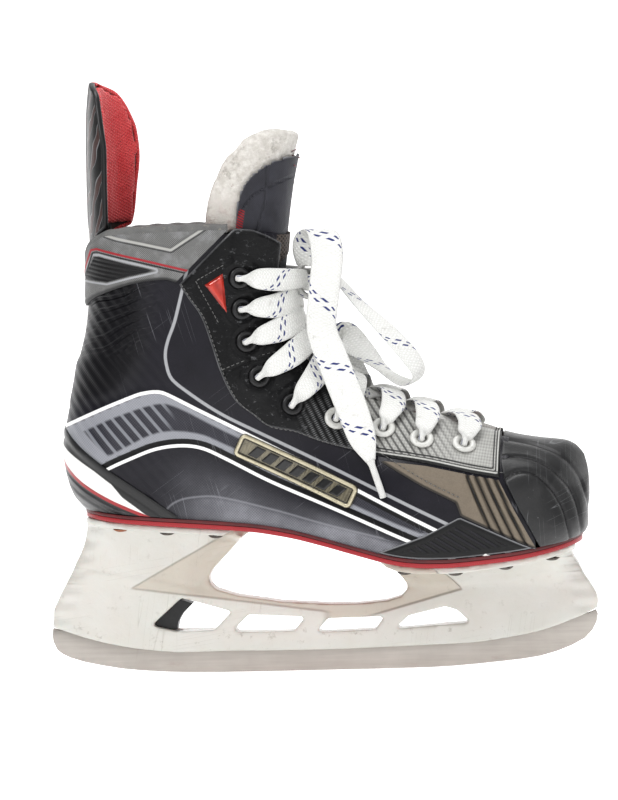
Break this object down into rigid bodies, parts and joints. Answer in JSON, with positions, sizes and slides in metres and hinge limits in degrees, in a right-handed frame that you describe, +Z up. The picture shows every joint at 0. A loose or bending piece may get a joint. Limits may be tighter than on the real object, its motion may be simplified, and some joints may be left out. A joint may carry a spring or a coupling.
{
  "type": "ice hockey skate",
  "caption": "Laced ice hockey skate with a moulded boot, tendon guard, felt tongue, white blade holder and a removable steel runner with a release trigger.",
  "frame": {"origin": "middle of the flat at the middle of the runner's running edge, in the runner's middle plane", "axes": "+X towards the toe, +Y towards the inner side of the foot, +Z up"},
  "size_m": [0.2973, 0.1032, 0.321],
  "materials": {
    "aglet": "lace tip",
    "badge": "clear moulded plate over a gold base, plain",
    "cuff": "grey woven cuff with rolled top",
    "eyelet": "white eyelet",
    "facing": "black facing with five sewn eyelets",
    "footbed": "removable insole",
    "gem": "orange-red triangle",
    "heel_wrap": "white, red and black heel overlay",
    "holder": "white nylon, slightly yellowed",
    "lace": "white flat lace with dark blue tracers",
    "lining": "padded lining",
    "outsole": "composite sole plate",
    "quarter": "composite shell, blue-black fading to grey weave",
    "rivet": "copper rivet",
    "runner": "ground steel",
    "sole_rim": "red welt",
    "tendon_guard": "moulded guard",
    "tendon_guard_lining": "red mesh pad",
    "toe_cap": "moulded toe cap, satin, scuffed",
    "toe_wrap": "tan and black ribbed overlay",
    "tongue_face": "black face of the tongue",
    "tongue_felt": "white felt, worn",
    "tongue_lower": "tongue under the laces",
    "trigger": "release trigger",
    "trigger_pin": "pin",
    "vamp": "silver ribbed facing"
  },
  "bodies": {
    "boot": {"aglet_far": "aglet", "aglet_near": "aglet", "badge_lateral": "badge", "badge_medial": "badge", "cuff": "cuff", "eyelet_lateral_1": "eyelet", "eyelet_lateral_2": "eyelet", "eyelet_lateral_3": "eyelet", "eyelet_lateral_4": "eyelet", "eyelet_medial_1": "eyelet", "eyelet_medial_2": "eyelet", "eyelet_medial_3": "eyelet", "eyelet_medial_4": "eyelet", "facing_lateral": "facing", "facing_medial": "facing", "footbed": "footbed", "gem_lateral": "gem", "gem_medial": "gem", "heel_wrap": "heel_wrap", "holder": "holder", "lace_bow_far": "lace", "lace_bow_near": "lace", "lace_knot": "lace", "lace_row": "lace", "lining_lateral": "lining", "lining_medial": "lining", "outsole": "outsole", "quarter_lateral": "quarter", "quarter_medial": "quarter", "rivet_lateral_1": "rivet", "rivet_lateral_2": "rivet", "rivet_lateral_3": "rivet", "rivet_lateral_4": "rivet", "rivet_lateral_5": "rivet", "rivet_lateral_6": "rivet", "rivet_lateral_7": "rivet", "rivet_medial_1": "rivet", "rivet_medial_2": "rivet", "rivet_medial_3": "rivet", "rivet_medial_4": "rivet", "rivet_medial_5": "rivet", "rivet_medial_6": "rivet", "rivet_medial_7": "rivet", "sole_rim": "sole_rim", "toe_cap": "toe_cap", "toe_wrap_lateral": "toe_wrap", "toe_wrap_medial": "toe_wrap", "tongue_lower": "tongue_lower", "trigger_pin": "trigger_pin", "vamp_lateral": "vamp", "vamp_medial": "vamp"},
    "guard": {"tendon_guard": "tendon_guard", "tendon_guard_lining": "tendon_guard_lining"},
    "tongue_top": {"tongue_felt": "tongue_felt", "tongue_face": "tongue_face"},
    "release_trigger": {"trigger": "trigger"},
    "steel": {"runner": "runner"}
  },
  "joints": [
    {"name": "tendon_guard_flex", "type": "hinge", "parent": "boot", "child": "guard", "pos_m": [-0.1212, 0, 0.2242], "axis": [0, -1, 0], "range_deg": [0, 24], "stiffness_Nm_per_rad": 1.5},
    {"name": "tongue_flex", "type": "hinge", "parent": "boot", "child": "tongue_top", "pos_m": [-0.005, 0, 0.2382], "axis": [0, 1, 0], "range_deg": [0, 28], "stiffness_Nm_per_rad": 0.8},
    {"name": "trigger_pull", "type": "hinge", "parent": "boot", "child": "release_trigger", "pos_m": [-0.084, 0, 0.039], "axis": [0, 1, 0], "range_deg": [0, 10], "stiffness_Nm_per_rad": 0.06},
    {"name": "runner_release", "type": "slide", "parent": "boot", "child": "steel", "axis": [0, 0, -1], "range_m": [0, 0.03]}
  ]
}
